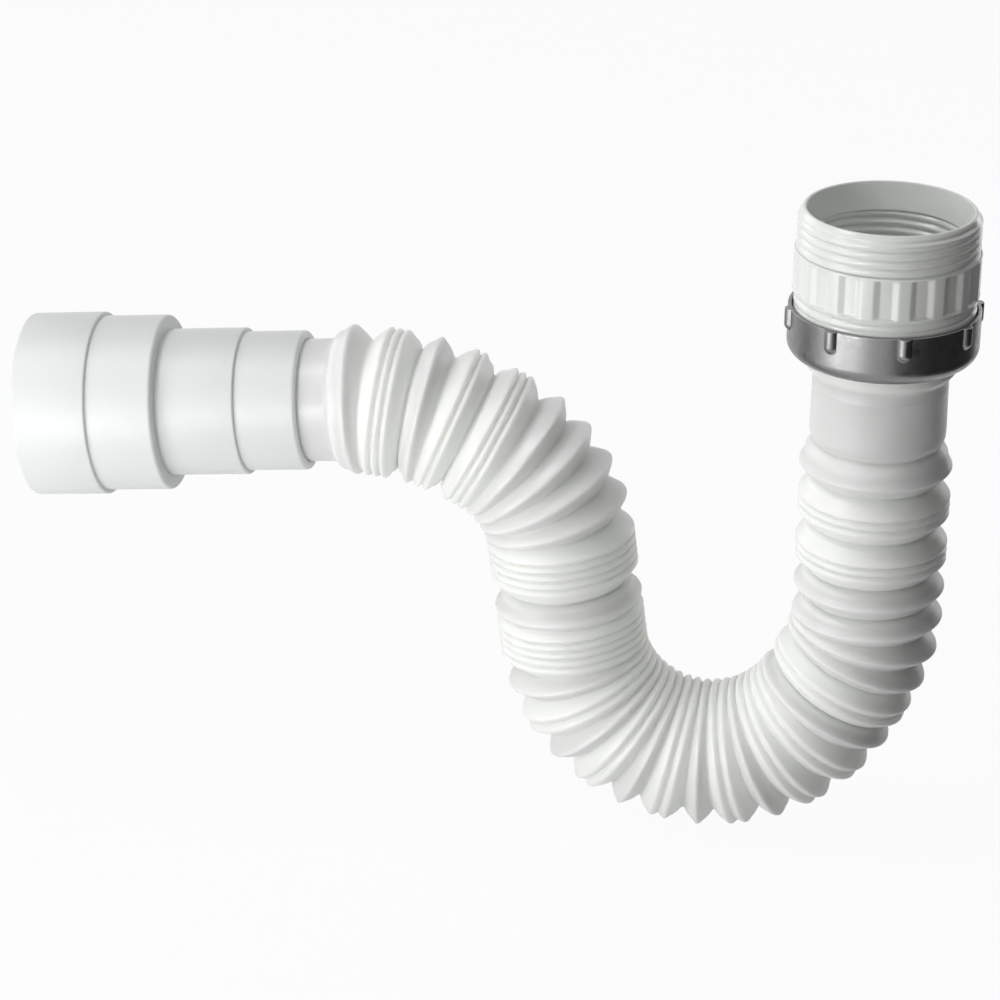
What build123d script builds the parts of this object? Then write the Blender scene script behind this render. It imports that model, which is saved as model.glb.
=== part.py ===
from build123d import *
import os
from collections import namedtuple

# Flexible sink trap, in millimetres.
# The inlet stands upright on the Z axis, with the shoulder under its upper thread at the origin.
# The pipe's centre line lies in the XZ plane: down the inlet leg, round the water-holding U, up the
# rising leg and out towards -X.

# Inlet adapter: outside threads at both ends, a fluted collar between, an inside thread below a tapered mouth
outer_thread_diameter = 47.8
upper_thread_length = 11.1
rim_lead = 2.2
rim_width = 0.7
rim_rounding = 0.5
mouth_wall = 2.25
mouth_depth = 7.2
inner_thread_wall = 4.425
inner_thread_length = 12.85
ledge_reach = 2.275
ledge_thickness = 2.5
foot_wall = 5.3
foot_chamfer = 0.8
collar_overhang = 0.5
collar_length = 11.5
collar_edge_rounding = 0.4
flute_count = 16
flute_depth = 0.85
flute_floor_width = 3.2
flute_top_width = 6.5
flute_margin = 0.9
flute_front_angle = 1.7

# Union nut: thin ring with lugs and an inward flange under the pipe's own flange
bare_thread_length = 4.05
engaged_thread_length = 6.93
thread_clearance = 0.3
nut_wall = 1.05
nut_flange_thickness = 2.4
nut_corner_share = 0.75
nut_edge_rounding = 0.3
lug_count = 8
lug_radius = 1.8
lug_reach = 1.25
lug_height = 6.2
lug_front_angle = 14.5

# Rubber washer squeezed between the adapter's foot and the pipe's flange
washer_thickness = 2.0
washer_width = 5.0
washer_margin = 1.7

# Flexible pipe: flange and neck at the inlet, bellows, plain cuff at the outlet
flange_thickness = 2.2
flange_margin = 1.6
shoulder_diameter = 39.8
shoulder_clearance = 0.3
shoulder_drop = 3.2
shoulder_taper = 1.8
neck_diameter = 35.8
neck_foot_diameter = 36.3
neck_length = 17.9
neck_wall = 1.0
neck_round_drop = 0.7
neck_round_inset = 0.35
first_valley_diameter = 33.8
first_valley_drop = 1.0
first_flank = 6.35
crest_diameter = 40.7
crest_width = 0.9
open_groove = 4.4
shut_groove = 1.2
fold_wall = 1.2
cuff_diameter = 33.3
cuff_wall = 1.05
last_flank = 5.5
bare_cuff_length = 7.55
loft_ring_count = 7

# Stepped outlet: four spigots of growing diameter, listed from the pipe to the mouth
socket_spigot_diameter = 37.9
socket_spigot_length = 16.7
slim_spigot_diameter = 40.0
slim_spigot_length = 21.6
wide_spigot_diameter = 47.8
wide_spigot_length = 18.1
mouth_spigot_diameter = 50.0
mouth_spigot_length = 20.4
spigot_wall = 2.2
spigot_edge_rounding = 1.0
mouth_edge_rounding = 0.8
socket_clearance = 0.08
socket_depth = 15.2
stop_thickness = 1.5
stop_height = 1.1

# Gaps between neighbouring crests: pitch on the centre line, angle between the crests, and depth of
# the groove on the inside and the outside of the bend.
# A fold is either snapped shut or pulled open, and in a tight bend it is open on the outside only.
shut_pitch = 2.35
part_open_pitch = 4.4
open_pitch = 8.6
wide_open_pitch = 9.35
shut_fan_pitch = 3.375
shut_fan_angle = 2.323
slack_fan_pitch = 7.2
slack_fan_angle = 2.675
fan_pitch = 6.075
fan_angle = 10.769
back_slack_pitch = 7.625
back_slack_angle = 5.138
back_fan_pitch = 6.55
back_fan_angle = 10.981
Gap = namedtuple("Gap", "pitch angle inner_groove outer_groove")
SHUT = Gap(shut_pitch, 0, shut_groove, shut_groove)
PART_OPEN = Gap(part_open_pitch, 0, open_groove, open_groove)
OPEN = Gap(open_pitch, 0, open_groove, open_groove)
WIDE_OPEN = Gap(wide_open_pitch, 0, open_groove, open_groove)
SHUT_FAN = Gap(shut_fan_pitch, shut_fan_angle, shut_groove, shut_groove)
SLACK_FAN = Gap(slack_fan_pitch, slack_fan_angle, open_groove, open_groove)
FAN = Gap(fan_pitch, fan_angle, shut_groove, open_groove)
BACK_SLACK = Gap(back_slack_pitch, back_slack_angle, open_groove, open_groove)
BACK_FAN = Gap(back_fan_pitch, back_fan_angle, shut_groove, open_groove)

# Order of the gaps from the inlet. The U turns one way and the bend to the outlet the other way.
inlet_leg = [OPEN, SHUT, SHUT, OPEN, SHUT, SHUT, OPEN, OPEN]
u_entry = [FAN, FAN, SLACK_FAN, SHUT_FAN, SLACK_FAN, FAN, SHUT_FAN, FAN, SHUT_FAN]
u_bend = u_entry + 4 * [FAN, FAN, SHUT_FAN] + [FAN, FAN]
rising_leg = 4 * [SHUT] + [PART_OPEN, WIDE_OPEN] + 4 * [SHUT]
bend_start = [BACK_FAN, BACK_FAN, BACK_FAN, BACK_FAN, BACK_FAN, SHUT, SHUT, BACK_SLACK]
bend_end = [SHUT, BACK_FAN, BACK_SLACK, SHUT, SHUT, BACK_FAN]
gaps = [(gap, 1) for gap in inlet_leg + u_bend + rising_leg]
gaps += [(gap, -1) for gap in bend_start + bend_end]

# Heights on the inlet axis, from the shoulder at the top of the collar
rim = upper_thread_length
collar_bottom = -collar_length
nut_top = collar_bottom - bare_thread_length
foot = nut_top - engaged_thread_length
flange_top = foot - washer_thickness
flange_bottom = flange_top - flange_thickness
nut_bottom = flange_bottom - nut_flange_thickness
shoulder_bottom = nut_bottom - shoulder_drop
neck_top = shoulder_bottom - shoulder_taper
neck_foot = neck_top - neck_length
neck_round_end = neck_foot - neck_round_drop
first_valley = neck_round_end - first_valley_drop
first_crest = first_valley - first_flank

# Radii shared by pieces that fit together
thread_radius = outer_thread_diameter / 2
inner_thread_radius = thread_radius - inner_thread_wall
nut_bore_radius = thread_radius + thread_clearance
nut_radius = nut_bore_radius + nut_wall
nut_mouth_radius = shoulder_diameter / 2 + shoulder_clearance
crest_radius = crest_diameter / 2
cuff_radius = cuff_diameter / 2
socket_radius = cuff_radius + socket_clearance


def turned(corners):
    """Solid turned about Z from (radius, height, rounding) corners of its section."""
    outline = make_face(Polyline(*[(radius, height) for radius, height, _ in corners], close=True))
    for radius, height, rounding in corners:
        if rounding > 0:
            corner = outline.vertices().sort_by_distance((radius, height, 0))[0]
            outline = fillet(corner, rounding)
    return revolve(Plane.XZ * outline, Axis.Z)


def from_front(angle):
    """Turn about Z that carries the +X direction to an angle measured rightwards from the front."""
    return Rot(0, 0, angle - 90)


def make_inlet_adapter():
    collar_radius = thread_radius + collar_overhang
    mouth_radius = thread_radius - mouth_wall
    ledge_radius = inner_thread_radius - ledge_reach
    foot_radius = thread_radius - foot_wall
    mouth_floor = rim - mouth_depth
    ledge_top = mouth_floor - inner_thread_length
    ledge_bottom = ledge_top - ledge_thickness
    body = turned(
        [
            (mouth_radius, rim, 0),
            (mouth_radius + rim_width, rim, rim_rounding),
            (thread_radius, rim - rim_lead, 0),
            (thread_radius, 0, 0),
            (collar_radius, 0, collar_edge_rounding),
            (collar_radius, collar_bottom, collar_edge_rounding),
            (thread_radius, collar_bottom, 0),
            (thread_radius, foot + foot_chamfer, 0),
            (thread_radius - foot_chamfer, foot, 0),
            (foot_radius, foot, 0),
            (foot_radius, ledge_bottom, 0),
            (ledge_radius, ledge_bottom, 0),
            (ledge_radius, ledge_top, 0),
            (inner_thread_radius, ledge_top, 0),
            (inner_thread_radius, mouth_floor, 0),
        ]
    )
    floor = collar_radius - flute_depth
    brim = collar_radius + flute_depth
    floor_half = flute_floor_width / 2
    brim_half = flute_top_width - floor_half
    section = Polyline(
        (floor, -floor_half), (brim, -brim_half), (brim, brim_half), (floor, floor_half), close=True
    )
    flute_base = Plane.XY.offset(collar_bottom + flute_margin)
    flute = extrude(flute_base * make_face(section), collar_length - 2 * flute_margin)
    for place in PolarLocations(0, flute_count):
        body -= from_front(flute_front_angle) * place * flute
    return body


def make_union_nut():
    corner_rounding = nut_corner_share * (nut_radius - nut_mouth_radius)
    seat_rounding = flange_margin - thread_clearance
    body = turned(
        [
            (nut_bore_radius, nut_top, 0),
            (nut_radius, nut_top, nut_edge_rounding),
            (nut_radius, nut_bottom, corner_rounding),
            (nut_mouth_radius, nut_bottom, nut_edge_rounding),
            (nut_mouth_radius, flange_bottom, 0),
            (nut_bore_radius, flange_bottom, seat_rounding),
        ]
    )
    shank = lug_height - lug_radius
    lug_centre = nut_radius + lug_reach - lug_radius
    lug = Pos(lug_centre, 0, nut_top - shank / 2) * Cylinder(lug_radius, shank)
    lug += Pos(lug_centre, 0, nut_top - shank) * Sphere(lug_radius)
    lug -= Pos(0, 0, nut_top) * Cylinder(nut_radius - nut_wall / 2, 3 * lug_height)
    for place in PolarLocations(0, lug_count):
        body += from_front(lug_front_angle) * place * lug
    return body


def make_seal_washer():
    outer = nut_bore_radius - washer_margin
    bore = outer - washer_width
    return turned(
        [(bore, foot, 0), (outer, foot, 0), (outer, flange_top, 0), (bore, flange_top, 0)]
    )


def station(height):
    """Plane across the inlet axis, facing down the pipe."""
    return Plane(origin=(0, 0, height), x_dir=(0, 1, 0), z_dir=(0, 0, -1))


def ring(plane, radius, off_centre=0):
    return plane * Pos(0, off_centre) * Circle(radius)


def fold_chain():
    """Planes of the crests from the inlet, and of the valley in each gap between them."""
    crests = [station(first_crest)]
    valleys = []
    for gap, way in gaps:
        half_turn = way * gap.angle / 2
        chord = crests[-1].rotated((0, half_turn, 0))
        valleys.append(chord.offset(gap.pitch / 2))
        crests.append(chord.offset(gap.pitch).rotated((0, half_turn, 0)))
    return crests, valleys


def valley_ring(valley, gap, way):
    """Circle across a gap. Where the groove is deeper on one side, the circle lies off centre."""
    radius = crest_radius - (gap.inner_groove + gap.outer_groove) / 2
    return ring(valley, radius, way * (gap.inner_groove - gap.outer_groove) / 2)


def bellows_outside(crests, valleys):
    """Rings of the outer wall: two edges of each blunt crest, and the valley between crests."""
    rings = []
    for number, crest in enumerate(crests):
        if number > 0:
            rings.append(valley_ring(valleys[number - 1], *gaps[number - 1]))
        rings.append(ring(crest.offset(-crest_width / 2), crest_radius))
        rings.append(ring(crest.offset(crest_width / 2), crest_radius))
    return rings


def bellows_inside(crests, valleys):
    """Rings of the inner wall. Shut folds press together, so the wall runs straight past them."""
    crest_inside = crest_radius - fold_wall
    valley_inside = crest_radius - open_groove - fold_wall
    rings = [ring(crests[0], crest_inside)]
    following = [gap for gap, _ in gaps[1:]] + [OPEN]
    for (gap, _), valley, crest, next_gap in zip(gaps, valleys, crests[1:], following):
        if gap.outer_groove == open_groove:
            rings.append(ring(valley, valley_inside))
            if next_gap.outer_groove == open_groove:
                rings.append(ring(crest, crest_inside))
    return rings


def through(rings):
    """Solid through a row of rings. One long loft can turn inside out, so short ones share end rings."""
    starts = range(0, len(rings) - 1, loft_ring_count - 1)
    return Part() + [loft(rings[start : start + loft_ring_count], ruled=True) for start in starts]


def make_flexible_pipe(crests, valleys):
    outlet_valley = crests[-1].offset(last_flank)
    cuff_end = outlet_valley.offset(bare_cuff_length + socket_depth)
    neck_radius = neck_diameter / 2
    neck_foot_radius = neck_foot_diameter / 2
    first_valley_radius = first_valley_diameter / 2
    shoulder_radius = shoulder_diameter / 2
    outside = [
        ring(station(flange_bottom), shoulder_radius),
        ring(station(shoulder_bottom), shoulder_radius),
        ring(station(neck_top), neck_radius),
        ring(station(neck_foot), neck_foot_radius),
        ring(station(neck_round_end), neck_foot_radius - neck_round_inset),
        ring(station(first_valley), first_valley_radius),
    ]
    outside += bellows_outside(crests, valleys)
    outside += [ring(outlet_valley, cuff_radius), ring(cuff_end, cuff_radius)]
    inside = [
        ring(station(flange_top), neck_radius - neck_wall),
        ring(station(neck_top), neck_radius - neck_wall),
        ring(station(neck_foot), neck_foot_radius - neck_wall),
        ring(station(first_valley), first_valley_radius - neck_wall),
    ]
    inside += bellows_inside(crests, valleys)
    inside += [ring(outlet_valley, cuff_radius - cuff_wall), ring(cuff_end, cuff_radius - cuff_wall)]
    flange = Pos(0, 0, flange_bottom) * Cylinder(
        nut_bore_radius - flange_margin,
        flange_thickness,
        align=(Align.CENTER, Align.CENTER, Align.MIN),
    )
    return through(outside) + flange - through(inside)


def make_stepped_outlet(crests):
    """Spigots turned about Z from the socket end up, then laid along the pipe's outlet."""
    spigots = [
        (socket_spigot_diameter / 2, socket_spigot_length),
        (slim_spigot_diameter / 2, slim_spigot_length),
        (wide_spigot_diameter / 2, wide_spigot_length),
        (mouth_spigot_diameter / 2, mouth_spigot_length),
    ]
    corners = [(socket_radius, 0, 0)]
    height = 0
    for radius, length in spigots:
        shoulder = radius - corners[-1][0]
        corners.append((radius, height, min(spigot_edge_rounding, shoulder / 2)))
        height += length
        corners.append((radius, height, 0))
    corners[-1] = (radius, height, mouth_edge_rounding)
    stop_radius = socket_radius - stop_height
    stop_end = socket_depth + stop_thickness
    slim_end = socket_spigot_length + slim_spigot_length + spigot_wall
    wide_end = slim_end + wide_spigot_length
    slim_bore = slim_spigot_diameter / 2 - spigot_wall
    wide_bore = wide_spigot_diameter / 2 - spigot_wall
    mouth_bore = mouth_spigot_diameter / 2 - spigot_wall
    corners += [
        (mouth_bore, height, mouth_edge_rounding),
        (mouth_bore, wide_end, 0),
        (wide_bore, wide_end, 0),
        (wide_bore, slim_end, 0),
        (slim_bore, slim_end, 0),
        (slim_bore, stop_end, 0),
        (stop_radius, stop_end, 0),
        (stop_radius, socket_depth, 0),
        (socket_radius, socket_depth, 0),
    ]
    socket_end = crests[-1].offset(last_flank + bare_cuff_length)
    return socket_end.location * turned(corners)


def main():
    crests, valleys = fold_chain()
    pieces = {
        "inlet_adapter": make_inlet_adapter(),
        "union_nut": make_union_nut(),
        "seal_washer": make_seal_washer(),
        "flexible_pipe": make_flexible_pipe(crests, valleys),
        "stepped_outlet": make_stepped_outlet(crests),
    }
    os.makedirs("parts", exist_ok=True)
    for name, piece in pieces.items():
        export_step(piece, f"parts/{name}.step")


if __name__ == "__main__":
    main()
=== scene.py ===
"""Flexible sink trap: detailed pieces, finishes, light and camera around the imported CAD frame."""

import logging
import math
from dataclasses import dataclass
from enum import Enum
from typing import Callable, NamedTuple, Sequence

import bmesh
import bpy
import numpy as np
from mathutils import Matrix, Vector


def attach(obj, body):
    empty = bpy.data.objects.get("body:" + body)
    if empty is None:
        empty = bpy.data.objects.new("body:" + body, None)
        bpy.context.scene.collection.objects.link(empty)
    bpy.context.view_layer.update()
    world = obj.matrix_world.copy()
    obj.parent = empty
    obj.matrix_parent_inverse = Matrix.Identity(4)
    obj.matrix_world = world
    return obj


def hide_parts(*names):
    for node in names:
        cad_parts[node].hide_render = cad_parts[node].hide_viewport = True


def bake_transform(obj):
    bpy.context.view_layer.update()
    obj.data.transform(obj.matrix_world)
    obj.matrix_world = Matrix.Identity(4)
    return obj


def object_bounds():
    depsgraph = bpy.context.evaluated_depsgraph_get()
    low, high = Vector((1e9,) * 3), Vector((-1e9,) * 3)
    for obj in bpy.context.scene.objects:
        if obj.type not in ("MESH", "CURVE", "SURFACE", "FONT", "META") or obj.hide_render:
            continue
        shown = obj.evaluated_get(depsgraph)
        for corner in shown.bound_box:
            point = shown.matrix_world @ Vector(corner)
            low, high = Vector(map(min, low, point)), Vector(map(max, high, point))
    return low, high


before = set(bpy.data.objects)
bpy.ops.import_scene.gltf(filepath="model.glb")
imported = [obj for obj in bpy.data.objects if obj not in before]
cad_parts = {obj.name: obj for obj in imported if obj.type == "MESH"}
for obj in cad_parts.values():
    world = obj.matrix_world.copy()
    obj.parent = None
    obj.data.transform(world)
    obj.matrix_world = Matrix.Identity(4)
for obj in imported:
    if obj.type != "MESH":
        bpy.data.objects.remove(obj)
CAD_BOX = [list(corner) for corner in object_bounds()]

log = logging.getLogger("flexible_trap")

# Sizes below are in millimetres, and meshes are in metres
MM = 0.001
# Merging distance for vertices that lie on each other, in metres
WELD = 2e-6
# Lead of the pipe threads, 11 turns to the inch
THREAD_PITCH = 2.309
# Share of a thread's depth that its narrow root takes; its rounded crest takes the rest
ROOT_SHARE = 0.6
# A rounding of this many millimetres or more is bevelled in more steps
BROAD_ROUNDING = 1.0
FINE_STEPS = 4
BROAD_STEPS = 10
# Slack for telling which wall a point lies on, in millimetres
NEAR = 0.01
# Largest share of a wall of the pipe that the rounding of one of its edges takes
ROUNDING_SHARE = 0.42
WHITE = (1.0, 1.0, 1.0, 1.0)


# Colours and nodes


def colour(hex_value: str) -> tuple[float, float, float, float]:
    """Turn an sRGB hex value into a linear colour.

    Args:
        hex_value: Six hex digits after a hash sign.

    Returns:
        Linear red, green, blue and an alpha of one.
    """
    digits = hex_value.lstrip("#")
    channels = [int(digits[i:i + 2], 16) / 255 for i in (0, 2, 4)]
    linear = [c / 12.92 if c <= 0.04045 else ((c + 0.055) / 1.055) ** 2.4 for c in channels]
    return (linear[0], linear[1], linear[2], 1.0)


def add_node(
    tree: bpy.types.NodeTree, kind: str, settings: dict | None = None, inputs: dict | None = None
) -> bpy.types.Node:
    """Add a node with its settings, and set or link its inputs.

    Args:
        tree: Node tree that takes the node.
        kind: Blender's name of the node type.
        settings: Attributes of the node, by name.
        inputs: Values, or output sockets to link from, by input name or number.

    Returns:
        The new node.
    """
    node = tree.nodes.new(kind)
    for name, value in (settings or {}).items():
        setattr(node, name, value)
    for name, value in (inputs or {}).items():
        if isinstance(value, bpy.types.NodeSocket):
            tree.links.new(value, node.inputs[name])
        else:
            node.inputs[name].default_value = value
    return node


def bare_material(name: str) -> bpy.types.Material:
    """Make a material with an empty node tree."""
    material = bpy.data.materials.new(name)
    material.use_nodes = True
    material.node_tree.nodes.clear()
    return material


def per_mm(size: float) -> float:
    """Noise scale that gives features of about this size in millimetres."""
    return 1 / (size * MM)


@dataclass(frozen=True)
class Finish:
    """A material: what it is made of and how its surface was made.

    Blotch, grain, grain height and scatter are lengths in millimetres.
    """

    name: str
    base: str
    shade: str
    roughness: float
    roughness_swing: float
    ior: float
    metallic: float
    blotch: float
    grain: float
    grain_height: float
    scatter: float = 0.0

    def material(self) -> bpy.types.Material:
        """Make the node material.

        Returns:
            A material with colour and roughness that vary over large blotches, and a fine grain.
        """
        material = bare_material(self.name)
        tree = material.node_tree
        place = add_node(tree, "ShaderNodeTexCoord").outputs["Object"]
        blotch = add_node(
            tree,
            "ShaderNodeTexNoise",
            inputs={
                "Vector": place,
                "Scale": per_mm(self.blotch),
                "Detail": 3.0,
                "Roughness": 0.55,
            },
        ).outputs["Fac"]
        grain = add_node(
            tree,
            "ShaderNodeTexNoise",
            inputs={
                "Vector": place,
                "Scale": per_mm(self.grain),
                "Detail": 2.0,
                "Roughness": 0.5,
            },
        ).outputs["Fac"]
        tint = add_node(
            tree,
            "ShaderNodeMix",
            {"data_type": "RGBA"},
            {0: blotch, 6: colour(self.base), 7: colour(self.shade)},
        ).outputs[2]
        rough = add_node(
            tree,
            "ShaderNodeMapRange",
            inputs={
                "Value": blotch,
                "From Min": 0.3,
                "From Max": 0.7,
                "To Min": self.roughness - self.roughness_swing,
                "To Max": self.roughness + self.roughness_swing,
            },
        ).outputs["Result"]
        bump = add_node(
            tree,
            "ShaderNodeBump",
            inputs={"Height": grain, "Strength": 1.0, "Distance": self.grain_height * MM},
        ).outputs["Normal"]
        shader = add_node(
            tree,
            "ShaderNodeBsdfPrincipled",
            inputs={
                "Base Color": tint,
                "Roughness": rough,
                "Normal": bump,
                "IOR": self.ior,
                "Metallic": self.metallic,
                "Subsurface Weight": 1.0 if self.scatter else 0.0,
                "Subsurface Radius": (1.0, 1.0, 1.0),
                "Subsurface Scale": self.scatter * MM,
            },
        ).outputs["BSDF"]
        add_node(tree, "ShaderNodeOutputMaterial", inputs={"Surface": shader})
        return material


# Glossy injection-moulded ABS: cool white with a clear highlight and hardly any texture
ADAPTER_ABS = Finish(
    name="white_abs_glossy",
    base="#ECEEEB",
    shade="#E7EAE6",
    roughness=0.2,
    roughness_swing=0.03,
    ior=1.53,
    metallic=0.0,
    blotch=14,
    grain=1.2,
    grain_height=0.004,
)
# Blow-moulded polypropylene: white and satin, a little uneven, and thin enough to let light through
PIPE_PP = Finish(
    name="white_polypropylene_blown",
    base="#F7FAF5",
    shade="#F2F6F0",
    roughness=0.36,
    roughness_swing=0.05,
    ior=1.49,
    metallic=0.0,
    blotch=9,
    grain=1.6,
    grain_height=0.012,
    scatter=3.0,
)
# Injection-moulded polypropylene with a fine satin texture, slightly greyer than the pipe
OUTLET_PP = Finish(
    name="white_polypropylene_satin",
    base="#E4E7E6",
    shade="#DEE2E1",
    roughness=0.45,
    roughness_swing=0.05,
    ior=1.49,
    metallic=0.0,
    blotch=18,
    grain=0.7,
    grain_height=0.01,
)
# Die-cast zinc with a tumbled satin skin: mid grey, soft highlight, fine grain
NUT_ZINC = Finish(
    name="zinc_die_cast",
    base="#8D8D8D",
    shade="#7C7C7D",
    roughness=0.34,
    roughness_swing=0.07,
    ior=1.5,
    metallic=1.0,
    blotch=2.2,
    grain=0.5,
    grain_height=0.018,
)
# Black nitrile rubber: dull, with a faint bloom
WASHER_RUBBER = Finish(
    name="nitrile_rubber",
    base="#1C1C1C",
    shade="#262626",
    roughness=0.75,
    roughness_swing=0.08,
    ior=1.5,
    metallic=0.0,
    blotch=4,
    grain=0.4,
    grain_height=0.02,
)


# Modelling helpers


class Corner(NamedTuple):
    """Corner of a turned section: radius, height, rounding and the cuts in the wall to the next one."""

    radius: float
    height: float
    rounding: float = 0.0
    cuts: int = 0


def smooth(low: float, high: float, value: np.ndarray) -> np.ndarray:
    """Rise from 0 at low to 1 at high with level ends."""
    t = np.clip((value - low) / (high - low), 0, 1)
    return t * t * (3 - 2 * t)


def points_of(piece: bpy.types.Object) -> np.ndarray:
    """Vertices of a mesh as an array of millimetre positions."""
    flat = np.empty(len(piece.data.vertices) * 3)
    piece.data.vertices.foreach_get("co", flat)
    return flat.reshape(-1, 3) / MM


def put_points(piece: bpy.types.Object, points: np.ndarray) -> None:
    """Move the vertices of a mesh to millimetre positions."""
    piece.data.vertices.foreach_set("co", (points * MM).ravel())
    piece.data.update()


def select_edges(piece: bpy.types.Object, wanted: Callable[[Vector, Vector], bool]) -> None:
    """Select the edges of the mesh in edit mode whose ends answer to a test.

    Args:
        piece: Object in edit mode.
        wanted: Test of the two ends, given in millimetres.
    """
    bpy.ops.mesh.select_all(action="DESELECT")
    bpy.ops.mesh.select_mode(type="EDGE")
    mesh = bmesh.from_edit_mesh(piece.data)
    for edge in mesh.edges:
        if wanted(edge.verts[0].co / MM, edge.verts[1].co / MM):
            edge.select_set(True)
    mesh.select_flush_mode()
    bmesh.update_edit_mesh(piece.data)


def on_ring(point: Vector, corner: Corner) -> bool:
    """Tell whether a point lies on the circle of a corner."""
    near = 1e-3
    level = abs(point.z - corner.height) < near
    return level and abs(math.hypot(point.x, point.y) - corner.radius) < near


def joins(a: Vector, b: Vector, one: Corner, other: Corner) -> bool:
    """Tell whether an edge joins the circles of two corners, or runs along the one circle of both."""
    return (on_ring(a, one) and on_ring(b, other)) or (on_ring(a, other) and on_ring(b, one))


def turn(name: str, segments: int, corners: Sequence[Corner]) -> bpy.types.Object:
    """Turn a closed section about Z, ring by ring, as on a lathe.

    Args:
        name: Name of the piece.
        segments: Points round each ring.
        corners: Section in order, outside down and inside up.

    Returns:
        The new object, in object mode.
    """
    bpy.ops.object.select_all(action="DESELECT")
    first, last = corners[0], corners[-1]
    bpy.ops.mesh.primitive_circle_add(
        vertices=segments, radius=first.radius * MM, location=(0, 0, first.height * MM)
    )
    piece = bpy.context.object
    piece.name = piece.data.name = name
    bpy.ops.object.transform_apply(location=True, rotation=True, scale=True)
    bpy.ops.object.mode_set(mode="EDIT")
    bpy.ops.mesh.select_all(action="SELECT")
    for before, after in zip(corners, corners[1:]):
        rise = (after.height - before.height) * MM
        bpy.ops.mesh.extrude_region_move(TRANSFORM_OT_translate={"value": (0, 0, rise)})
        scale = after.radius / before.radius
        bpy.ops.transform.resize(value=(scale, scale, 1), center_override=(0, 0, after.height * MM))
    select_edges(piece, lambda a, b: joins(a, b, first, first) or joins(a, b, last, last))
    bpy.ops.mesh.bridge_edge_loops()
    for corner, following in zip(corners, corners[1:]):
        if corner.cuts > 0:
            select_edges(piece, lambda a, b: joins(a, b, corner, following))
            bpy.ops.mesh.subdivide_edgering(number_cuts=corner.cuts, interpolation="LINEAR")
    for corner in corners:
        if corner.rounding > 0:
            select_edges(piece, lambda a, b: joins(a, b, corner, corner))
            steps = FINE_STEPS if corner.rounding < BROAD_ROUNDING else BROAD_STEPS
            bpy.ops.mesh.bevel(
                offset=corner.rounding * MM, segments=steps, affect="EDGES", clamp_overlap=True
            )
    finish_mesh()
    return piece


def finish_mesh() -> None:
    """Merge doubles, turn faces outwards and leave edit mode."""
    bpy.ops.mesh.select_all(action="SELECT")
    bpy.ops.mesh.remove_doubles(threshold=WELD)
    bpy.ops.mesh.normals_make_consistent(inside=False)
    bpy.ops.object.mode_set(mode="OBJECT")


def shade(piece: bpy.types.Object, angle: float) -> None:
    """Shade a piece smooth, with edges sharper than an angle in degrees kept."""
    bpy.ops.object.select_all(action="DESELECT")
    piece.select_set(True)
    bpy.context.view_layer.objects.active = piece
    bpy.ops.object.shade_smooth_by_angle(angle=math.radians(angle))


def hand_over(
    piece: bpy.types.Object, node: str, body: str | None, finish: Finish
) -> None:
    """Give a piece its finish and its place in the frame.

    Args:
        piece: Finished piece.
        node: CAD node that it stands for.
        body: CAD body that carries it, or None to leave it unattached.
        finish: Its material.
    """
    piece.data.materials.clear()
    piece.data.materials.append(finish.material())
    if body:
        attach(piece, body)
    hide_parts(node)
    log.info("%s: %d vertices for %s", piece.name, len(piece.data.vertices), node)


def helix_groove(points: np.ndarray, front_height: float, depth: float, width: float) -> np.ndarray:
    """Depth of a right-hand thread at each point: narrow roots between broad rounded crests.

    Args:
        points: Positions in millimetres.
        front_height: Height of one root at the front of the piece.
        depth: Depth of the roots.
        width: Half width of the rounded root.

    Returns:
        Depth at each point.
    """
    angle = np.arctan2(points[:, 1], points[:, 0])
    phase = (points[:, 2] - front_height) / THREAD_PITCH - (angle + math.pi / 2) / (2 * math.pi)
    away = np.abs(phase - np.round(phase)) * 2
    root = np.exp(-((away * THREAD_PITCH / 2 / width) ** 2))
    crest = 1 - np.sqrt(1 - (1 - away) ** 2)
    return depth * (ROOT_SHARE * root + (1 - ROOT_SHARE) * crest)


def scale_radius(points: np.ndarray, growth: np.ndarray) -> None:
    """Move points outwards from the Z axis by a length each."""
    radius = np.hypot(points[:, 0], points[:, 1])
    points[:, :2] *= ((radius + growth) / radius)[:, None]


# Inlet adapter


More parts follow.
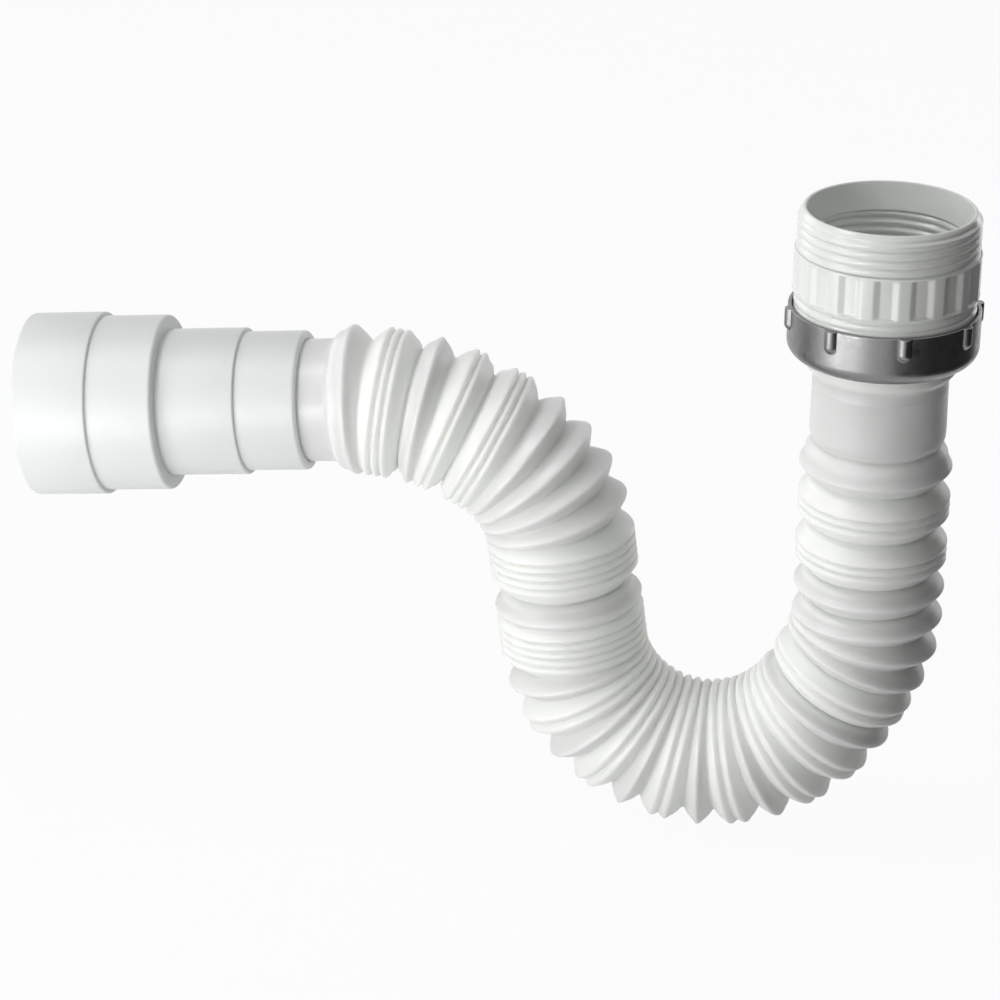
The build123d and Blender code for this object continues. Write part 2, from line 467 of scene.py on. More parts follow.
@dataclass
class InletAdapter:
    """Moulded ring with two outside threads, a fluted collar and an inside thread."""

    thread_radius: float = 23.9
    rim: float = 11.1
    rim_lead: float = 2.2
    mouth_radius: float = 21.65
    rim_width: float = 0.7
    rim_rounding: float = 0.5
    mouth_floor: float = 3.9
    bore: float = 19.475
    ledge_radius: float = 17.2
    ledge_top: float = -8.95
    ledge_bottom: float = -11.45
    foot_radius: float = 18.6
    foot: float = -22.48
    foot_chamfer: float = 0.8
    collar_radius: float = 24.4
    collar_bottom: float = -11.5
    flute_count: int = 16
    flute_depth: float = 0.85
    flute_floor_width: float = 3.2
    flute_top_width: float = 6.5
    flute_margin: float = 0.4
    flute_end: float = 0.35
    flute_front_angle: float = 1.7
    edge_rounding: float = 0.35
    lead_rounding: float = 0.5
    inner_rounding: float = 0.3
    collar_skin: float = 0.05
    rim_fade: float = 0.5
    lead_fade: float = 0.4
    foot_clear: float = 0.5
    ledge_clear: float = 0.3
    ledge_fade: float = 2.0
    thread_depth: float = 0.75
    thread_root: float = 0.4
    upper_root: float = 0.1
    lower_root: float = -12.45
    inner_thread_depth: float = 0.95
    inner_thread_root: float = 0.62
    inner_root: float = 2.65
    segments: int = 384
    lead_cuts: int = 7
    upper_thread_cuts: int = 50
    collar_cuts: int = 30
    lower_thread_cuts: int = 44
    inner_thread_cuts: int = 54
    sharp_angle: float = 35

    def build(self) -> bpy.types.Object:
        """Model the ring and cut its threads and flutes.

        Returns:
            The finished piece.
        """
        corners = [
            Corner(self.mouth_radius, self.rim, self.edge_rounding),
            Corner(self.mouth_radius + self.rim_width, self.rim, self.rim_rounding, self.lead_cuts),
            Corner(
                self.thread_radius, self.rim - self.rim_lead, self.lead_rounding, self.upper_thread_cuts
            ),
            Corner(self.thread_radius, 0),
            Corner(self.collar_radius, 0, self.edge_rounding, self.collar_cuts),
            Corner(self.collar_radius, self.collar_bottom, self.edge_rounding),
            Corner(self.thread_radius, self.collar_bottom, cuts=self.lower_thread_cuts),
            Corner(self.thread_radius, self.foot + self.foot_chamfer),
            Corner(self.thread_radius - self.foot_chamfer, self.foot),
            Corner(self.foot_radius, self.foot),
            Corner(self.foot_radius, self.ledge_bottom),
            Corner(self.ledge_radius, self.ledge_bottom),
            Corner(self.ledge_radius, self.ledge_top, self.inner_rounding),
            Corner(self.bore, self.ledge_top, cuts=self.inner_thread_cuts),
            Corner(self.bore, self.mouth_floor, self.inner_rounding),
        ]
        piece = turn("inlet_adapter_moulding", self.segments, corners)
        points = points_of(piece)
        radius = np.hypot(points[:, 0], points[:, 1])
        self.line_up(points, radius)
        self.cut_threads(points, radius)
        self.cut_flutes(points, radius)
        put_points(piece, points)
        shade(piece, self.sharp_angle)
        return piece

    def cut_threads(self, points: np.ndarray, radius: np.ndarray) -> None:
        """Cut the two outside threads and the inside thread."""
        height = points[:, 2]
        outside = radius > self.thread_radius - 2 * self.rim_width
        upper = outside & (height > -NEAR) & (radius < self.thread_radius + NEAR)
        fade = smooth(self.rim - self.rim_fade, self.rim - self.rim_lead - self.lead_fade, height)
        groove = helix_groove(points, self.upper_root, self.thread_depth, self.thread_root)
        scale_radius(points, np.where(upper, -fade * groove, 0))
        lower = outside & (height < self.collar_bottom + NEAR) & (height > self.foot + self.foot_clear)
        groove = helix_groove(points, self.lower_root, self.thread_depth, self.thread_root)
        scale_radius(points, np.where(lower, -groove, 0))
        fade_start = self.ledge_top + self.ledge_clear
        inside = (np.abs(radius - self.bore) < NEAR) & (height > fade_start)
        fade = smooth(fade_start, self.ledge_top + self.ledge_fade, height)
        groove = helix_groove(points, self.inner_root, self.inner_thread_depth, self.inner_thread_root)
        scale_radius(points, np.where(inside, fade * groove, 0))

    def line_up(self, points: np.ndarray, radius: np.ndarray) -> None:
        """Slide the columns of points round the ring, so that some run along the flutes' edges."""
        columns = self.segments // self.flute_count
        column = np.rint(np.arctan2(points[:, 1], points[:, 0]) / (2 * math.pi) * self.segments)
        within = (column + columns // 2) % columns - columns // 2
        front = math.radians(self.flute_front_angle)
        middle = (column - within) * 2 * math.pi / self.segments + front
        # A third of the columns goes to a flute's floor, a third to its walls and a third to the ridge
        marks = np.array([0, columns / 6, columns / 3, columns / 2])
        edges = np.array([0, self.flute_floor_width, self.flute_top_width]) / 2 / self.collar_radius
        places = np.append(edges, math.pi / self.flute_count)
        angle = middle + np.sign(within) * np.interp(np.abs(within), marks, places)
        points[:, 0] = radius * np.cos(angle)
        points[:, 1] = radius * np.sin(angle)

    def cut_flutes(self, points: np.ndarray, radius: np.ndarray) -> None:
        """Press the ring of grip flutes, with flat floors and slanted walls, into the collar."""
        pitch = 2 * math.pi / self.flute_count
        angle = np.arctan2(points[:, 1], points[:, 0]) - math.radians(self.flute_front_angle)
        across = np.abs(angle - np.round(angle / pitch) * pitch) * self.collar_radius
        middle = self.collar_bottom / 2
        end = -middle - self.flute_margin - np.abs(points[:, 2] - middle)
        wall = (self.flute_top_width - self.flute_floor_width) / 2
        share = np.clip((self.flute_top_width / 2 - across) / wall, 0, 1)
        share = share * np.clip(end / self.flute_end, 0, 1)
        within = (points[:, 2] < 0) & (points[:, 2] > self.collar_bottom)
        collar = (radius > self.collar_radius - self.collar_skin) & within
        scale_radius(points, np.where(collar, -self.flute_depth * share, 0))

    def dress(self, piece: bpy.types.Object) -> None:
        """Give the moulding its finish and its place."""
        hand_over(piece, "inlet_adapter", "adapter", ADAPTER_ABS)


# Union nut


@dataclass
class UnionNut:
    """Die-cast ring nut with half-round lugs flush with its top."""

    bore: float = 24.2
    radius: float = 25.25
    top: float = -15.55
    flange_top: float = -26.68
    bottom: float = -29.08
    mouth_radius: float = 20.2
    corner_rounding: float = 3.79
    seat_rounding: float = 1.3
    wall_margin: float = 0.2
    edge_rounding: float = 0.3
    lug_count: int = 8
    lug_radius: float = 1.8
    lug_reach: float = 1.25
    lug_height: float = 6.2
    lug_front_angle: float = 14.5
    lug_fillet: float = 0.45
    lug_blend_start: float = 0.3
    lug_blend_end: float = 0.35
    segments: int = 480
    wall_cuts: int = 32
    sharp_angle: float = 40

    def build(self) -> bpy.types.Object:
        """Model the ring and raise its lugs.

        Returns:
            The finished piece.
        """
        corners = [
            Corner(self.bore, self.top, self.edge_rounding),
            Corner(self.radius, self.top, self.edge_rounding, self.wall_cuts),
            Corner(self.radius, self.bottom + self.corner_rounding + self.wall_margin),
            Corner(self.radius, self.bottom, self.corner_rounding),
            Corner(self.mouth_radius, self.bottom, self.edge_rounding),
            Corner(self.mouth_radius, self.flange_top),
            Corner(self.bore, self.flange_top, self.seat_rounding),
        ]
        piece = turn("union_nut_casting", self.segments, corners)
        points = points_of(piece)
        self.raise_lugs(points)
        put_points(piece, points)
        shade(piece, self.sharp_angle)
        return piece

    def raise_lugs(self, points: np.ndarray) -> None:
        """Draw the outer wall out into lugs with filleted feet."""
        pitch = 2 * math.pi / self.lug_count
        front = math.radians(self.lug_front_angle) - math.pi / 2
        angle = np.arctan2(points[:, 1], points[:, 0]) - front
        across = (angle - np.round(angle / pitch) * pitch) * self.radius
        below = np.minimum(points[:, 2] - (self.top - self.lug_height + self.lug_radius), 0)
        away = np.hypot(across, below)
        sunk = self.lug_radius - self.lug_reach
        height = np.sqrt(np.maximum(self.lug_radius**2 - away**2, 0)) - sunk
        blend = np.maximum(self.lug_fillet - np.abs(height), 0) / self.lug_fillet
        raised = np.maximum(height, 0) + blend**2 * self.lug_fillet / 4
        radius = np.hypot(points[:, 0], points[:, 1])
        share = smooth(self.bore + self.lug_blend_start, self.radius - self.lug_blend_end, radius)
        wall = points[:, 2] > self.bottom + self.corner_rounding
        scale_radius(points, np.where(wall, raised * share, 0))

    def dress(self, piece: bpy.types.Object) -> None:
        """Give the casting its finish and its place."""
        hand_over(piece, "union_nut", "nut", NUT_ZINC)


# Flexible pipe


class Fold(Enum):
    """State of the gap between two crests.

    Each has its pitch, its angle, and the depth of its groove inside and outside the bend.
    """

    SHUT = (2.35, 0.0, 1.2, 1.2)
    PART_OPEN = (4.4, 0.0, 1.8, 1.8)
    OPEN = (8.6, 0.0, 4.4, 4.4)
    WIDE_OPEN = (9.35, 0.0, 4.4, 4.4)
    SHUT_FAN = (3.375, 2.323, 1.2, 1.2)
    SLACK_FAN = (7.2, 2.675, 4.4, 4.4)
    FAN = (6.075, 10.769, 1.2, 4.4)
    BACK_SLACK = (7.625, 5.138, 4.4, 4.4)
    BACK_FAN = (6.55, 10.981, 1.2, 4.4)

    @property
    def pitch(self) -> float:
        """Distance between the crests on the centre line."""
        return self.value[0]

    @property
    def angle(self) -> float:
        """Angle between the crests, in degrees."""
        return self.value[1]

    @property
    def inner_groove(self) -> float:
        """Depth of the valley on the inside of the bend."""
        return self.value[2]

    @property
    def outer_groove(self) -> float:
        """Depth of the valley on the outside of the bend."""
        return self.value[3]

    @property
    def is_bent(self) -> bool:
        """Tell whether the fold is bent open on one side."""
        return self.inner_groove < self.outer_groove

    @property
    def is_open(self) -> bool:
        """Tell whether the fold is pulled open."""
        return self.outer_groove > Fold.SHUT.outer_groove


INLET_LEG = [Fold.OPEN, Fold.SHUT, Fold.SHUT, Fold.OPEN, Fold.SHUT, Fold.SHUT, Fold.OPEN, Fold.OPEN]
U_ENTRY = [
    Fold.FAN, Fold.FAN, Fold.SLACK_FAN, Fold.SHUT_FAN, Fold.SLACK_FAN,
    Fold.FAN, Fold.SHUT_FAN, Fold.FAN, Fold.SHUT_FAN,
]
U_BEND = U_ENTRY + 4 * [Fold.FAN, Fold.FAN, Fold.SHUT_FAN] + 2 * [Fold.FAN]
RISING_LEG = 4 * [Fold.SHUT] + [Fold.PART_OPEN, Fold.WIDE_OPEN] + 4 * [Fold.SHUT]
OUTLET_BEND = 5 * [Fold.BACK_FAN] + [Fold.SHUT, Fold.SHUT, Fold.BACK_SLACK]
OUTLET_BEND += [Fold.SHUT, Fold.BACK_FAN, Fold.BACK_SLACK, Fold.SHUT, Fold.SHUT, Fold.BACK_FAN]


@dataclass(frozen=True)
class Station:
    """Plane across the pipe's centre line, which lies in XZ, turned from straight down by degrees."""

    x: float
    z: float
    turn: float = 0.0

    @property
    def heading(self) -> np.ndarray:
        """Direction of flow."""
        angle = math.radians(self.turn)
        return np.array([-math.sin(angle), 0, -math.cos(angle)])

    def ahead(self, distance: float) -> "Station":
        """Station further along the same direction."""
        way = self.heading
        return Station(self.x + distance * way[0], self.z + distance * way[2], self.turn)

    def turned(self, angle: float) -> "Station":
        """Same place, turned further round the bend."""
        return Station(self.x, self.z, self.turn + angle)

    def ring(self, radius: float, angles: np.ndarray, shift: float = 0.0) -> np.ndarray:
        """Circle of points round the centre line, shifted sideways in the plane of the bends."""
        turn_angle = math.radians(self.turn)
        side = np.array([math.cos(turn_angle), 0, -math.sin(turn_angle)])
        centre = np.array([self.x, 0, self.z]) + shift * side
        spokes = np.outer(np.cos(angles), [0, 1, 0]) + np.outer(np.sin(angles), side)
        return centre + radius * spokes


class Gap(NamedTuple):
    """Gap between two crests: the station of its valley, its fold and the way it bends."""

    valley: Station
    fold: Fold
    way: int


class Rib(NamedTuple):
    """Ring of the pipe's wall.

    The rounding is how far its edge is rounded along each flank, and the bulge is the swelling of the
    wall to the next rib, as a share of that wall's length.
    """

    station: Station
    radius: float
    rounding: float = 0.0
    shift: float = 0.0
    bulge: float = 0.0
    valley: bool = False


@dataclass
class FlexiblePipe:
    """Blow-moulded pipe: flange, neck, bellows of many folds and a plain cuff."""

    flange_radius: float = 22.6
    flange_top: float = -24.48
    flange_bottom: float = -26.68
    flange_rounding: float = 0.3
    shoulder_radius: float = 19.9
    shoulder_bottom: float = -32.28
    shoulder_rounding: float = 0.8
    neck_radius: float = 17.9
    neck_top: float = -34.08
    neck_top_rounding: float = 0.7
    neck_foot_radius: float = 18.15
    neck_foot: float = -51.98
    neck_foot_rounding: float = 1.6
    neck_under_rounding: float = 0.8
    neck_round_rise: float = 1.2
    neck_round_drop: float = 0.6
    neck_round_inset: float = 0.4
    neck_wall: float = 1.0
    first_valley_radius: float = 16.9
    first_valley: float = -53.68
    first_valley_rounding: float = 0.4
    first_crest: float = -60.03
    crest_radius: float = 20.35
    fold_wall: float = 1.2
    cuff_radius: float = 16.65
    cuff_wall: float = 1.05
    cuff_rounding: float = 0.8
    cuff_end_rounding: float = 0.3
    last_flank: float = 5.5
    bare_cuff: float = 7.55
    socket_depth: float = 15.2
    crest_width: float = 0.9
    straight_crest_rounding: float = 2.2
    bent_crest_rounding: float = 1.3
    valley_rounding: float = 0.6
    straight_bulge: float = 0.15
    bent_bulge: float = 0.05
    ring_line: float = -37.3
    ring_line_height: float = 0.06
    ring_line_width: float = 0.6
    ring_line_foot: float = 0.05
    ring_line_rounding: float = 0.1
    bending_crests: int = 10
    segments: int = 96
    crest_points: int = 4
    valley_points: int = 3
    sharp_angle: float = 75

    def chain(self) -> tuple[list[Station], list[Gap]]:
        """Follow the folds from the inlet.

        Returns:
            Stations of the crests, and the gap between each two of them.
        """
        one_way = [(fold, 1) for fold in INLET_LEG + U_BEND + RISING_LEG]
        other_way = [(fold, -1) for fold in OUTLET_BEND]
        crests = [Station(0, self.first_crest)]
        gaps = []
        for fold, way in one_way + other_way:
            half_turn = way * fold.angle / 2
            chord = crests[-1].turned(half_turn)
            gaps.append(Gap(chord.ahead(fold.pitch / 2), fold, way))
            crests.append(chord.ahead(fold.pitch).turned(half_turn))
        return crests, gaps

    def outside(self) -> list[Rib]:
        """Ribs of the outer wall from the flange to the end of the cuff."""
        crests, gaps = self.chain()
        line_radius = self.neck_radius + self.ring_line_foot
        line_half = self.ring_line_width / 2
        neck_round_top = Station(0, self.neck_foot + self.neck_round_rise)
        neck_round_foot = Station(0, self.neck_foot - self.neck_round_drop)
        neck_under_radius = self.neck_foot_radius - self.neck_round_inset
        ribs = [
            Rib(Station(0, self.flange_top), self.flange_radius, self.flange_rounding),
            Rib(Station(0, self.flange_bottom), self.flange_radius, self.flange_rounding),
            Rib(Station(0, self.flange_bottom), self.shoulder_radius),
            Rib(Station(0, self.shoulder_bottom), self.shoulder_radius, self.shoulder_rounding),
            Rib(Station(0, self.neck_top), self.neck_radius, self.neck_top_rounding),
            Rib(Station(0, self.ring_line + line_half), line_radius),
            Rib(Station(0, self.ring_line), line_radius + self.ring_line_height, self.ring_line_rounding),
            Rib(Station(0, self.ring_line - line_half), line_radius),
            Rib(neck_round_top, self.neck_foot_radius, self.neck_foot_rounding),
            Rib(neck_round_foot, neck_under_radius, self.neck_under_rounding),
            Rib(
                Station(0, self.first_valley),
                self.first_valley_radius,
                self.first_valley_rounding,
                bulge=self.straight_bulge,
                valley=True,
            ),
            *self.crest(crests[0], Fold.OPEN, gaps[0].fold),
        ]
        following = [gap.fold for gap in gaps[1:]] + [Fold.OPEN]
        for gap, crest, next_fold in zip(gaps, crests[1:], following):
            ribs.append(self.valley(gap))
            ribs += self.crest(crest, gap.fold, next_fold)
        cuff_start, cuff_end = self.cuff()
        ribs.append(Rib(cuff_start, self.cuff_radius, self.cuff_rounding))
        ribs.append(Rib(cuff_end, self.cuff_radius, self.cuff_end_rounding))
        return ribs

    def cuff(self) -> tuple[Station, Station]:
        """Both ends of the plain cuff."""
        crests, _ = self.chain()
        start = crests[-1].ahead(self.last_flank)
        return start, start.ahead(self.bare_cuff + self.socket_depth)

    def crest(self, station: Station, before: Fold, after: Fold) -> list[Rib]:
        """Both edges of a blunt crest between two folds."""
        half = self.crest_width / 2
        return [
            Rib(station.ahead(-half), self.crest_radius, self.rounding(before)),
            Rib(station.ahead(half), self.crest_radius, self.rounding(after), bulge=self.bulge(after)),
        ]

    def rounding(self, fold: Fold) -> float:
        """Rounding of a crest towards a fold: a fold bent open pulls its crests sharper."""
        return self.bent_crest_rounding if fold.is_bent else self.straight_crest_rounding

    def bulge(self, fold: Fold) -> float:
        """Swelling of the flanks of a fold: a fold bent open pulls them straighter."""
        return self.bent_bulge if fold.is_bent else self.straight_bulge

    def valley(self, gap: Gap) -> Rib:
        """Bottom of a gap. Where the groove is deeper on one side, its circle lies off the centre line."""
        inner, outer = gap.fold.inner_groove, gap.fold.outer_groove
        return Rib(
            gap.valley,
            self.crest_radius - (inner + outer) / 2,
            self.valley_rounding,
            gap.way * (inner - outer) / 2,
            self.bulge(gap.fold),
            True,
        )

    def inside(self) -> list[Rib]:
        """Ribs of the inner wall from the flange to the end of the cuff."""
        crests, gaps = self.chain()
        crest_inside = self.crest_radius - self.fold_wall
        valley_inside = crest_inside - Fold.OPEN.outer_groove
        neck_inside = self.neck_radius - self.neck_wall
        cuff_inside = self.cuff_radius - self.cuff_wall
        ribs = [
            Rib(Station(0, self.flange_top), neck_inside, self.flange_rounding),
            Rib(Station(0, self.neck_top), neck_inside),
            Rib(Station(0, self.neck_foot), self.neck_foot_radius - self.neck_wall),
            Rib(Station(0, self.first_valley), self.first_valley_radius - self.neck_wall),
            Rib(crests[0], crest_inside),
        ]
        following = [gap.fold for gap in gaps[1:]] + [Fold.OPEN]
        for gap, crest, next_fold in zip(gaps, crests[1:], following):
            if gap.fold.is_open:
                ribs.append(Rib(gap.valley, valley_inside))
                if next_fold.is_open:
                    ribs.append(Rib(crest, crest_inside))
        cuff_start, cuff_end = self.cuff()
        ribs.append(Rib(cuff_start, cuff_inside))
        ribs.append(Rib(cuff_end, cuff_inside, self.cuff_end_rounding))
        return ribs

    def rounded(self, ribs: Sequence[Rib], angles: np.ndarray) -> np.ndarray:
        """Round the edge at each rib, keeping a valley at its depth, and swell the walls between.

        Args:
            ribs: Ribs round a closed section.
            angles: Angles of the points round each ring.

        Returns:
            Rings of points, as an array of ring, point and coordinate.
        """
        places = [rib.station.ring(rib.radius, angles, rib.shift) for rib in ribs]
        curves = []
        for number, rib in enumerate(ribs):
            tip = places[number]
            before, after = places[number - 1], places[(number + 1) % len(ribs)]
            if rib.rounding == 0:
                curves.append([tip])
                continue
            back, ahead = (self.share(other - tip, rib.rounding) for other in (before, after))
            if rib.valley:
                tip = tip - (back * (before - tip) + ahead * (after - tip)) / 4
            start = tip + back * (before - tip)
            end = tip + ahead * (after - tip)
            steps = np.linspace(0, 1, self.valley_points if rib.valley else self.crest_points)
            curves.append([(1 - t) ** 2 * start + 2 * t * (1 - t) * tip + t * t * end for t in steps])
        rings = []
        for number, rib in enumerate(ribs):
            rings += curves[number]
            if rib.bulge > 0:
                rings += self.swelling(curves[number][-1], curves[number + 1][0], rib.bulge)
        return np.array(rings)

    @staticmethod
    def share(wall: np.ndarray, rounding: float) -> np.ndarray:
        """Share of each line of a wall that the rounding of its edge takes."""
        return np.minimum(rounding / np.linalg.norm(wall, axis=1, keepdims=True), ROUNDING_SHARE)

    @staticmethod
    def swelling(start: np.ndarray, end: np.ndarray, bulge: float) -> list[np.ndarray]:
        """Two rings that swell the wall between a pair of rings outwards.

        Args:
            start: Ring at one edge of the wall.
            end: Ring at its other edge.
            bulge: Rise in the middle, as a share of the wall's length.

        Returns:
            Rings at a third and two thirds of the wall.
        """
        wall = end - start
        length = np.linalg.norm(wall, axis=1, keepdims=True)
        middle = (start + end) / 2
        out = middle - middle.mean(axis=0)
        out = out - wall * ((out * wall).sum(axis=1, keepdims=True) / length**2)
        out = out / np.linalg.norm(out, axis=1, keepdims=True)
        rise = bulge * length * out
        return [start + t * wall + 4 * t * (1 - t) * rise for t in (1 / 3, 2 / 3)]

    def build(self) -> bpy.types.Object:
        """Model a plain tube, divide it into rings and draw them out into the pipe's wall.

        Returns:
            The finished piece.
        """
        angles = np.arange(self.segments) * 2 * math.pi / self.segments
        section = self.outside() + self.inside()[::-1]
        rings = self.rounded(section, angles)
        piece = tube("flexible_pipe_bellows", self.segments, rings)
        shade(piece, self.sharp_angle)
        return piece

    def dress(self, piece: bpy.types.Object) -> None:
        """Give the pipe its finish, and bake its place into its mesh."""
        hand_over(piece, "flexible_pipe", None, PIPE_PP)
        crests, _ = self.chain()
        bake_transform(piece)


def tube(name: str, segments: int, rings: np.ndarray) -> bpy.types.Object:
    """Model a tube whose rings of points take given places, and close its last ring on its first.

    Args:
        name: Name of the piece.
        segments: Points round each ring.
        rings: Places in millimetres, as an array of ring, point and coordinate.

    Returns:
        The new object, in object mode.
    """
    count = len(rings)
    bpy.ops.object.select_all(action="DESELECT")
    bpy.ops.mesh.primitive_cylinder_add(
        vertices=segments, radius=1, depth=count - 1, end_fill_type="NOTHING"
    )
    piece = bpy.context.object
    piece.name = piece.data.name = name
    bpy.ops.object.mode_set(mode="EDIT")
    select_edges(piece, lambda a, b: abs(a.z - b.z) > 1)
    bpy.ops.mesh.subdivide_edgering(number_cuts=count - 2, interpolation="LINEAR")
    bpy.ops.object.mode_set(mode="OBJECT")
    points = points_of(piece) * MM
    ring_numbers = np.rint(points[:, 2] + (count - 1) / 2).astype(int)
    turns = np.arctan2(points[:, 1], points[:, 0]) / (2 * math.pi)
    steps = np.rint(turns * segments).astype(int) % segments
    put_points(piece, rings[ring_numbers, steps])
    bpy.ops.object.mode_set(mode="EDIT")
    bpy.ops.mesh.select_all(action="DESELECT")
    bpy.ops.mesh.select_non_manifold()
    bpy.ops.mesh.bridge_edge_loops()
    finish_mesh()
    return piece


# Stepped outlet


@dataclass
class SteppedOutlet:
    """Moulded spigot of four diameters, pushed over the pipe's cuff."""

    radii: tuple[float, ...] = (18.95, 20.0, 23.9, 25.0)
    lengths: tuple[float, ...] = (16.7, 21.6, 18.1, 20.4)
    wall: float = 2.2
    edge_rounding: float = 1.0
    mouth_rounding: float = 0.8
    socket_rounding: float = 0.25
    inner_rounding: float = 0.3
    socket_radius: float = 16.73
    socket_depth: float = 15.2
    stop_thickness: float = 1.5
    stop_height: float = 1.1
    segments: int = 192
    sharp_angle: float = 35

    def build(self, socket_end: Station) -> bpy.types.Object:
        """Turn the spigots upright, then lay them along the outlet.

        Args:
            socket_end: Station where the outlet starts on the cuff.

        Returns:
            The finished piece.
        """
        corners = [Corner(self.socket_radius, 0, self.socket_rounding)]
        height = 0.0
        for radius, length in zip(self.radii, self.lengths):
            shoulder = radius - corners[-1].radius
            corners.append(Corner(radius, height, min(self.edge_rounding, shoulder / 2)))
            height += length
            corners.append(Corner(radius, height))
        corners[-1] = Corner(self.radii[-1], height, self.mouth_rounding)
        bores = [radius - self.wall for radius in self.radii]
        slim_end = self.lengths[0] + self.lengths[1] + self.wall
        wide_end = slim_end + self.lengths[2]
        stop_end = self.socket_depth + self.stop_thickness
        stop_radius = self.socket_radius - self.stop_height
        corners += [
            Corner(bores[3], height, self.mouth_rounding),
            Corner(bores[3], wide_end, self.inner_rounding),
            Corner(bores[2], wide_end, self.inner_rounding),
            Corner(bores[2], slim_end, self.inner_rounding),
            Corner(bores[1], slim_end, self.inner_rounding),
            Corner(bores[1], stop_end),
            Corner(stop_radius, stop_end),
            Corner(stop_radius, self.socket_depth),
            Corner(self.socket_radius, self.socket_depth),
        ]
        piece = turn("stepped_outlet_moulding", self.segments, corners)
        lean = Vector(socket_end.heading).to_track_quat("Z", "Y").to_matrix().to_4x4()
        place = Matrix.Translation((socket_end.x * MM, 0, socket_end.z * MM))
        piece.data.transform(place @ lean)
        shade(piece, self.sharp_angle)
        return piece

    def dress(self, piece: bpy.types.Object) -> None:
        """Give the moulding its finish and its place."""
        hand_over(piece, "stepped_outlet", "outlet", OUTLET_PP)


# Studio


def seen_rays(tree: bpy.types.NodeTree) -> bpy.types.NodeSocket:
    """Tell rays that show a surface from rays that light another one.

    Args:
        tree: Node tree of a stage material or of the world.

    Returns:
        Socket that is 1 for camera, glossy and transmission rays.
    """
    rays = add_node(tree, "ShaderNodeLightPath").outputs
    seen = rays["Is Camera Ray"]
    for name in ("Is Glossy Ray", "Is Transmission Ray"):
        either = add_node(tree, "ShaderNodeMath", {"operation": "MAXIMUM"}, {0: seen, 1: rays[name]})
        seen = either.outputs[0]
    return seen


@dataclass(frozen=True)
class Softbox:
    """Square lamp: its place from the aim and its side in millimetres, and its power in watts.

    It faces the aim, or its target where it has one. A glint shows only in gloss.
    """

    name: str
    place: tuple[float, float, float]
    size: float
    power: float
    target: tuple[float, float, float] | None = None
    is_glint: bool = False


# The last one is for the nut, which it faces
SOFTBOXES = (
    Softbox("front_softbox", (-177, -446, 0), 180, 0.81),
    Softbox("left_softbox", (-376, -298, 0), 180, 0.5),
    Softbox("overhead_softbox", (-50, 0, 900), 400, 0.7),
    Softbox("left_top_softbox", (-400, -150, 700), 250, 1.65),
    Softbox("left_back_softbox", (-600, 500, 400), 400, 0.79),
    Softbox("right_back_softbox", (420, 420, 60), 250, 0.32),
    Softbox("low_left_glint", (-154, -204, -72), 110, 0.12, target=(0, 0, -22), is_glint=True),
)


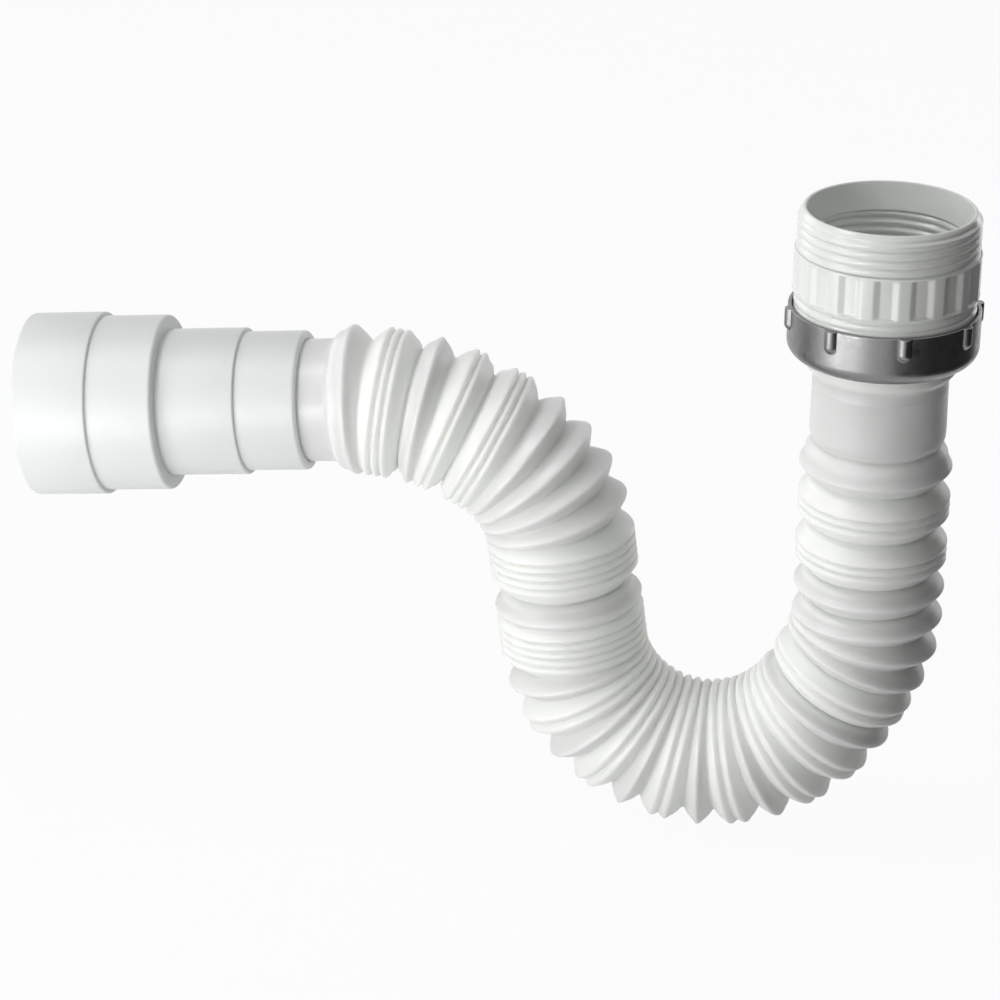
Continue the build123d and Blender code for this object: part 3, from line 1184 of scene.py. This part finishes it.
@dataclass
class Studio:
    """Pale floor, soft lamps, white background and the photograph's camera."""

    floor_paper: str = "#DADADA"
    floor_gap: float = 0.6
    # Side of the floor in metres
    floor_size: float = 6.0
    floor_glow: float = 0.95
    flag_velvet: str = "#4C4C4C"
    flag_place: tuple[float, float, float] = (150.0, -20.0, -40.0)
    flag_turn: float = -15.0
    flag_size: tuple[float, float] = (600.0, 260.0)
    world_light: float = 0.31
    aim: tuple[float, float, float] = (-101.16, 0.0, -79.0)
    distance: float = 895.56
    elevation: float = 24.04
    yaw: float = -8.398
    roll: float = 0.5
    focal_pixels: float = 3278.9
    image_width: float = 1000.0
    sensor: float = 36.0

    def lay_floor(self) -> None:
        """Lay the floor under the lowest point of the object."""
        bpy.ops.object.select_all(action="DESELECT")
        height = CAD_BOX[0][2] - self.floor_gap * MM
        bpy.ops.mesh.primitive_plane_add(size=self.floor_size, location=(0, 0, height))
        floor = bpy.context.object
        floor.name = "floor"
        material = bare_material("studio_floor_paper")
        tree = material.node_tree
        paper = add_node(
            tree, "ShaderNodeBsdfDiffuse", inputs={"Color": colour(self.floor_paper)}
        ).outputs[0]
        glow = add_node(
            tree, "ShaderNodeEmission", inputs={"Color": WHITE, "Strength": 1.0}
        ).outputs[0]
        seen = seen_rays(tree)
        share = add_node(
            tree, "ShaderNodeMath", {"operation": "MULTIPLY"}, {0: seen, 1: self.floor_glow}
        ).outputs[0]
        mixed = add_node(
            tree, "ShaderNodeMixShader", inputs={0: share, 1: paper, 2: glow}
        ).outputs[0]
        add_node(tree, "ShaderNodeOutputMaterial", inputs={"Surface": mixed})
        floor.data.materials.append(material)

    def stand_flag(self) -> None:
        """Stand a dark grey card on the right, unseen, so that right-hand walls fall off to grey."""
        bpy.ops.object.select_all(action="DESELECT")
        upright = (0, -math.pi / 2, math.radians(self.flag_turn))
        bpy.ops.mesh.primitive_plane_add(size=1, location=Vector(self.flag_place) * MM, rotation=upright)
        flag = bpy.context.object
        flag.name = "grey_flag"
        flag.dimensions = (self.flag_size[1] * MM, self.flag_size[0] * MM, 0)
        flag.visible_camera = False
        material = bare_material("studio_grey_velvet")
        tree = material.node_tree
        velvet = add_node(
            tree, "ShaderNodeBsdfDiffuse", inputs={"Color": colour(self.flag_velvet)}
        ).outputs[0]
        add_node(tree, "ShaderNodeOutputMaterial", inputs={"Surface": velvet})
        flag.data.materials.append(material)

    def light(self) -> None:
        """Hang the lamps and set the world."""
        for softbox in SOFTBOXES:
            self.hang(softbox)
        world = bpy.data.worlds.new("studio_white")
        bpy.context.scene.world = world
        world.use_nodes = True
        tree = world.node_tree
        tree.nodes.clear()
        seen = seen_rays(tree)
        dim = add_node(
            tree, "ShaderNodeBackground", inputs={"Color": WHITE, "Strength": self.world_light}
        ).outputs[0]
        white = add_node(
            tree, "ShaderNodeBackground", inputs={"Color": WHITE, "Strength": 1.0}
        ).outputs[0]
        mixed = add_node(
            tree, "ShaderNodeMixShader", inputs={0: seen, 1: dim, 2: white}
        ).outputs[0]
        add_node(tree, "ShaderNodeOutputWorld", inputs={"Surface": mixed})

    def hang(self, softbox: Softbox) -> None:
        """Hang a softbox so that it faces the object.

        Args:
            softbox: Lamp to hang.
        """
        data = bpy.data.lights.new(softbox.name, "AREA")
        data.shape = "SQUARE"
        data.size = softbox.size * MM
        data.energy = softbox.power
        lamp = bpy.data.objects.new(softbox.name, data)
        bpy.context.scene.collection.objects.link(lamp)
        stand = Vector(self.aim) + Vector(softbox.place)
        facing = Vector(softbox.target or self.aim) - stand
        lamp.location = stand * MM
        lamp.rotation_euler = facing.to_track_quat("-Z", "Y").to_euler()
        lamp.visible_diffuse = not softbox.is_glint

    def camera(self) -> None:
        """Stand the camera where the photograph was taken from."""
        tilt, yaw, roll = (math.radians(a) for a in (self.elevation, self.yaw, self.roll))
        reach = math.cos(tilt)
        forward = Vector((math.sin(yaw) * reach, math.cos(yaw) * reach, -math.sin(tilt)))
        level = Vector((math.cos(yaw), -math.sin(yaw), 0))
        upright = level.cross(forward)
        right = level * math.cos(roll) + upright * math.sin(roll)
        up = upright * math.cos(roll) - level * math.sin(roll)
        data = bpy.data.cameras.new("photograph_camera")
        data.sensor_width = self.sensor
        data.lens = self.focal_pixels / self.image_width * self.sensor
        data.clip_start = 0.01
        camera = bpy.data.objects.new("photograph_camera", data)
        bpy.context.scene.collection.objects.link(camera)
        turn_matrix = Matrix((right, up, -forward)).transposed().to_4x4()
        place = (Vector(self.aim) - forward * self.distance) * MM
        camera.matrix_world = Matrix.Translation(place) @ turn_matrix
        bpy.context.scene.camera = camera


def main() -> None:
    """Build each piece, dress it, and set the studio."""
    logging.basicConfig(level=logging.INFO)
    bpy.context.scene.view_settings.view_transform = "Standard"
    adapter = InletAdapter()
    adapter.dress(adapter.build())
    nut = UnionNut()
    nut.dress(nut.build())
    pipe = FlexiblePipe()
    pipe.dress(pipe.build())
    outlet = SteppedOutlet()
    crests, _ = pipe.chain()
    outlet.dress(outlet.build(crests[-1].ahead(pipe.last_flank + pipe.bare_cuff)))
    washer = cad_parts["seal_washer"]
    washer.data.materials.clear()
    washer.data.materials.append(WASHER_RUBBER.material())
    log.info("%s: %d vertices, the CAD node itself", washer.name, len(washer.data.vertices))
    studio = Studio()
    studio.lay_floor()
    studio.stand_flag()
    studio.light()
    studio.camera()


if __name__ == "__main__":
    main()
